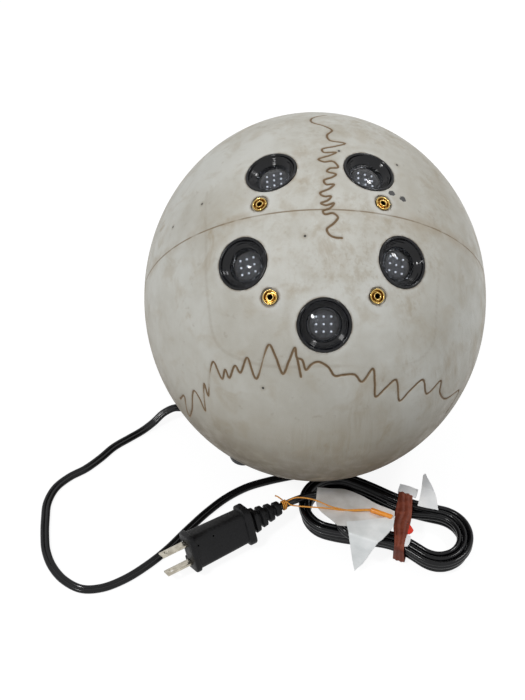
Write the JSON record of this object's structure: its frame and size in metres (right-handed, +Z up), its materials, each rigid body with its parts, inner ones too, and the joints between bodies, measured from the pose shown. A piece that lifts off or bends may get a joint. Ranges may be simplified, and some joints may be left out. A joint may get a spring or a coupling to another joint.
{
  "type": "light-up skull",
  "caption": "Hollow skull prop with a ring of lamps on the back of its vault, brass thread inserts between them, and a mains cord tied in a hank with a fused plug.",
  "frame": {"origin": "on the table, under the middle of the head's bounding box without its cord", "axes": "+Z up, +Y the way the face looks, +X the skull's left side seen from the front, which is the picture's right"},
  "size_m": [0.2771, 0.2694, 0.2161],
  "materials": {
    "bone": "moulded bone colour, washed with brown",
    "bone_brown": "moulded bone colour with a darker brown wash",
    "black_plastic": "moulded",
    "steel": "zinc plated",
    "black_rubber": "moulded",
    "black_gloss": "glossy",
    "clear_lens": "smoked clear",
    "white_plastic": "satin",
    "brass": "turned",
    "green_board": "coated board",
    "amber_coil": "taped",
    "wire_jacket": "soft jacket",
    "cord_jacket": "satin jacket",
    "brown_rubber": "satin",
    "tag_paper": "uncoated, blank",
    "orange_plastic": "satin",
    "plug_plastic": "moulded",
    "nickel": "nickel plated"
  },
  "bodies": {
    "head": {"face_shell": "bone", "back_shell": "bone_brown", "lamp_carrier": "black_plastic", "base_plate": "black_plastic", "base_screw_front_left": "steel", "base_screw_front_right": "steel", "base_screw_back_left": "steel", "base_screw_back_right": "steel", "foot_front_left": "black_rubber", "foot_front_right": "black_rubber", "foot_back_left": "black_rubber", "foot_back_right": "black_rubber", "lamp_cup_upper_left": "black_gloss", "lamp_lens_upper_left": "clear_lens", "light_board_upper_left": "white_plastic", "lamp_cup_upper_right": "black_gloss", "lamp_lens_upper_right": "clear_lens", "light_board_upper_right": "white_plastic", "lamp_cup_middle_left": "black_gloss", "lamp_lens_middle_left": "clear_lens", "light_board_middle_left": "white_plastic", "lamp_cup_middle_right": "black_gloss", "lamp_lens_middle_right": "clear_lens", "light_board_middle_right": "white_plastic", "lamp_cup_lower": "black_gloss", "lamp_lens_lower": "clear_lens", "light_board_lower": "white_plastic", "thread_insert_upper_left": "brass", "thread_insert_upper_right": "brass", "thread_insert_lower_left": "brass", "thread_insert_lower_right": "brass", "driver_board": "green_board", "driver_transformer": "amber_coil", "driver_capacitor": "black_gloss", "terminal_strip": "white_plastic", "lamp_wire_upper_left": "wire_jacket", "lamp_wire_upper_right": "wire_jacket", "lamp_wire_middle_left": "wire_jacket", "lamp_wire_middle_right": "wire_jacket", "lamp_wire_lower": "wire_jacket", "cord_gland": "black_rubber", "cord_lead": "cord_jacket", "cord_hank": "cord_jacket", "cord_tail": "cord_jacket", "rubber_band": "brown_rubber", "plug_body": "plug_plastic", "plug_blade_upper": "nickel", "fuse_upper": "nickel", "plug_blade_lower": "nickel", "fuse_lower": "nickel", "tag_large": "tag_paper", "tag_small": "tag_paper", "tag_string": "orange_plastic", "string_tube": "orange_plastic"},
    "fuse_door": {"fuse_door": "plug_plastic"}
  },
  "joints": [
    {"name": "fuse_door_slide", "type": "slide", "parent": "head", "child": "fuse_door", "axis": [-0.8517, -0.524, 0], "range_m": [0, 0.01]}
  ]
}
